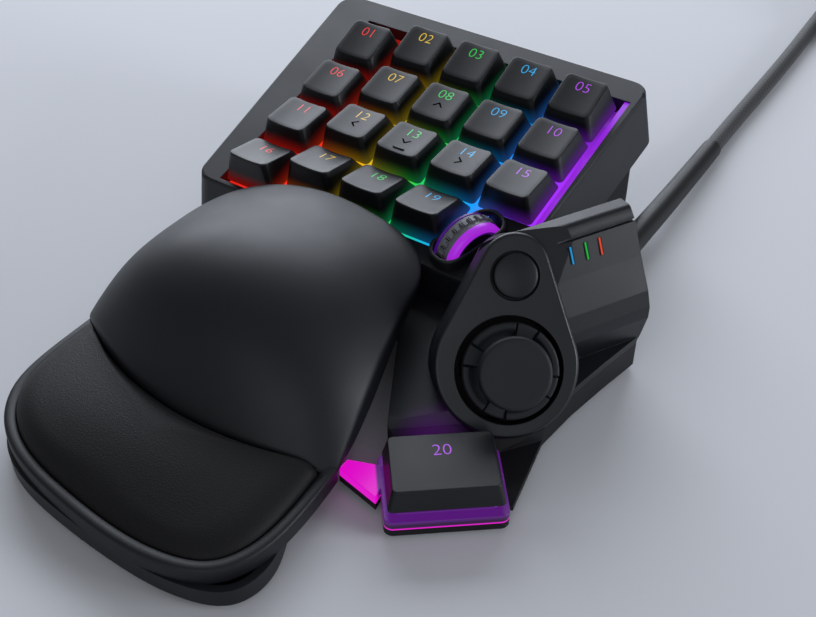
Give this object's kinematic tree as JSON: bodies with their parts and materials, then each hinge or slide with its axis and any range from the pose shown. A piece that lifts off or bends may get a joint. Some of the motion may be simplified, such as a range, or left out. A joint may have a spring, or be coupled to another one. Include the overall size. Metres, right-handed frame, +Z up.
{
  "type": "gaming keypad",
  "caption": "Left-hand gaming keypad with sculpted numbered keys, scroll wheel, thumb module, sliding palm rest and USB cable",
  "frame": {"origin": "centre of the keypad's box without its cable, on the surface under its feet", "axes": "+X to the thumb side, +Y away from the user, +Z up"},
  "size_m": [0.2204, 0.4671, 0.0536],
  "materials": {
    "keycap_plastic": "matte",
    "case_plastic": "matte",
    "inner_plastic": "matte",
    "silicone": "matte",
    "board": "satin",
    "base_plastic": "matte",
    "screw_steel": "satin",
    "violet_light": "satin",
    "foot_rubber": "matte",
    "tyre_rubber": "matte",
    "fascia_plastic": "satin",
    "button_plastic": "satin",
    "stick_rubber": "matte",
    "blue_light": "satin",
    "green_light": "satin",
    "red_light": "satin",
    "palm_plastic": "matte",
    "pad_leather": "matte",
    "cable_rubber": "matte",
    "cable_braid": "matte",
    "plug_plastic": "matte",
    "plug_steel": "satin"
  },
  "bodies": {
    "case": {"top_shell": "case_plastic", "key_deck": "inner_plastic", "dome_sheet": "silicone", "key_circuit_board": "board", "bottom_shell": "base_plastic", "case_screws": "screw_steel", "light_band": "violet_light", "rubber_feet": "foot_rubber", "wheel_bezel": "case_plastic", "thumb_housing": "case_plastic", "thumb_fascia": "fascia_plastic", "thumb_frame": "inner_plastic", "indicator_blue": "blue_light", "indicator_green": "green_light", "indicator_red": "red_light", "thumb_key_base": "violet_light", "cable_sleeve": "cable_rubber", "cable": "cable_braid", "cable_coil": "cable_braid", "cable_tail": "cable_braid", "usb_plug_body": "plug_plastic", "usb_plug_shell": "plug_steel"},
    "key_01": {"keycap_01": "keycap_plastic"},
    "key_02": {"keycap_02": "keycap_plastic"},
    "key_03": {"keycap_03": "keycap_plastic"},
    "key_04": {"keycap_04": "keycap_plastic"},
    "key_05": {"keycap_05": "keycap_plastic"},
    "key_06": {"keycap_06": "keycap_plastic"},
    "key_07": {"keycap_07": "keycap_plastic"},
    "key_08": {"keycap_08": "keycap_plastic"},
    "key_09": {"keycap_09": "keycap_plastic"},
    "key_10": {"keycap_10": "keycap_plastic"},
    "key_11": {"keycap_11": "keycap_plastic"},
    "key_12": {"keycap_12": "keycap_plastic"},
    "key_13": {"keycap_13": "keycap_plastic"},
    "key_14": {"keycap_14": "keycap_plastic"},
    "key_15": {"keycap_15": "keycap_plastic"},
    "key_16": {"keycap_16": "keycap_plastic"},
    "key_17": {"keycap_17": "keycap_plastic"},
    "key_18": {"keycap_18": "keycap_plastic"},
    "key_19": {"keycap_19": "keycap_plastic"},
    "carriage": {"wheel_carriage": "inner_plastic", "wheel_axle": "screw_steel"},
    "wheel": {"wheel_hub": "violet_light", "wheel_tyre": "tyre_rubber"},
    "button": {"thumb_button": "button_plastic"},
    "gimbal": {"gimbal_ring": "inner_plastic"},
    "stick": {"direction_pad": "button_plastic", "thumb_stick_cap": "stick_rubber"},
    "bar_key": {"thumb_key": "keycap_plastic"},
    "palm_rest": {"palm_rest_shell": "palm_plastic", "palm_rest_base": "base_plastic", "palm_screws": "screw_steel", "palm_pad": "pad_leather", "palm_feet": "foot_rubber"}
  },
  "joints": [
    {"name": "press_01", "type": "slide", "parent": "case", "child": "key_01", "axis": [0, 0.2079, -0.9781], "range_m": [0, 0.003], "stiffness_N_per_m": 150, "springref_m": -0.0015},
    {"name": "press_02", "type": "slide", "parent": "case", "child": "key_02", "axis": [0, 0.2079, -0.9781], "range_m": [0, 0.003], "stiffness_N_per_m": 150, "springref_m": -0.0015},
    {"name": "press_03", "type": "slide", "parent": "case", "child": "key_03", "axis": [0, 0.2079, -0.9781], "range_m": [0, 0.003], "stiffness_N_per_m": 150, "springref_m": -0.0015},
    {"name": "press_04", "type": "slide", "parent": "case", "child": "key_04", "axis": [0, 0.2079, -0.9781], "range_m": [0, 0.003], "stiffness_N_per_m": 150, "springref_m": -0.0015},
    {"name": "press_05", "type": "slide", "parent": "case", "child": "key_05", "axis": [0, 0.2079, -0.9781], "range_m": [0, 0.003], "stiffness_N_per_m": 150, "springref_m": -0.0015},
    {"name": "press_06", "type": "slide", "parent": "case", "child": "key_06", "axis": [0, 0.2079, -0.9781], "range_m": [0, 0.003], "stiffness_N_per_m": 150, "springref_m": -0.0015},
    {"name": "press_07", "type": "slide", "parent": "case", "child": "key_07", "axis": [0, 0.2079, -0.9781], "range_m": [0, 0.003], "stiffness_N_per_m": 150, "springref_m": -0.0015},
    {"name": "press_08", "type": "slide", "parent": "case", "child": "key_08", "axis": [0, 0.2079, -0.9781], "range_m": [0, 0.003], "stiffness_N_per_m": 150, "springref_m": -0.0015},
    {"name": "press_09", "type": "slide", "parent": "case", "child": "key_09", "axis": [0, 0.2079, -0.9781], "range_m": [0, 0.003], "stiffness_N_per_m": 150, "springref_m": -0.0015},
    {"name": "press_10", "type": "slide", "parent": "case", "child": "key_10", "axis": [0, 0.2079, -0.9781], "range_m": [0, 0.003], "stiffness_N_per_m": 150, "springref_m": -0.0015},
    {"name": "press_11", "type": "slide", "parent": "case", "child": "key_11", "axis": [0, 0.2079, -0.9781], "range_m": [0, 0.003], "stiffness_N_per_m": 150, "springref_m": -0.0015},
    {"name": "press_12", "type": "slide", "parent": "case", "child": "key_12", "axis": [0, 0.2079, -0.9781], "range_m": [0, 0.003], "stiffness_N_per_m": 150, "springref_m": -0.0015},
    {"name": "press_13", "type": "slide", "parent": "case", "child": "key_13", "axis": [0, 0.2079, -0.9781], "range_m": [0, 0.003], "stiffness_N_per_m": 150, "springref_m": -0.0015},
    {"name": "press_14", "type": "slide", "parent": "case", "child": "key_14", "axis": [0, 0.2079, -0.9781], "range_m": [0, 0.003], "stiffness_N_per_m": 150, "springref_m": -0.0015},
    {"name": "press_15", "type": "slide", "parent": "case", "child": "key_15", "axis": [0, 0.2079, -0.9781], "range_m": [0, 0.003], "stiffness_N_per_m": 150, "springref_m": -0.0015},
    {"name": "press_16", "type": "slide", "parent": "case", "child": "key_16", "axis": [0, 0.2079, -0.9781], "range_m": [0, 0.003], "stiffness_N_per_m": 150, "springref_m": -0.0015},
    {"name": "press_17", "type": "slide", "parent": "case", "child": "key_17", "axis": [0, 0.2079, -0.9781], "range_m": [0, 0.003], "stiffness_N_per_m": 150, "springref_m": -0.0015},
    {"name": "press_18", "type": "slide", "parent": "case", "child": "key_18", "axis": [0, 0.2079, -0.9781], "range_m": [0, 0.003], "stiffness_N_per_m": 150, "springref_m": -0.0015},
    {"name": "press_19", "type": "slide", "parent": "case", "child": "key_19", "axis": [0, 0.2079, -0.9781], "range_m": [0, 0.003], "stiffness_N_per_m": 150, "springref_m": -0.0015},
    {"name": "wheel_click", "type": "slide", "parent": "case", "child": "carriage", "axis": [0, 0.2079, -0.9781], "range_m": [0, 0.0005], "stiffness_N_per_m": 800, "springref_m": -0.0005},
    {"name": "wheel_turn", "type": "hinge", "parent": "carriage", "child": "wheel", "pos_m": [0.0244, 0.02193, 0.0275], "axis": [0.9397, -0.3345, -0.0711], "continuous": true},
    {"name": "button_press", "type": "slide", "parent": "case", "child": "button", "axis": [-0.4959, 0.6124, -0.6157], "range_m": [0, 0.001], "stiffness_N_per_m": 500, "springref_m": -0.0008},
    {"name": "stick_up_down", "type": "hinge", "parent": "case", "child": "gimbal", "pos_m": [0.05303, -0.00636, 0.01779], "axis": [0.7771, 0.6293, 0], "range_deg": [-6.5, 6.5], "stiffness_Nm_per_rad": 0.08},
    {"name": "stick_left_right", "type": "hinge", "parent": "gimbal", "child": "stick", "pos_m": [0.05303, -0.00636, 0.01779], "axis": [-0.3874, 0.4785, 0.788], "range_deg": [-6.5, 6.5], "stiffness_Nm_per_rad": 0.08},
    {"name": "bar_press", "type": "slide", "parent": "case", "child": "bar_key", "axis": [0, 0, -1], "range_m": [0, 0.0024], "stiffness_N_per_m": 200, "springref_m": -0.0015},
    {"name": "palm_slide", "type": "slide", "parent": "case", "child": "palm_rest", "axis": [0, -1, 0], "range_m": [0, 0.015]}
  ]
}
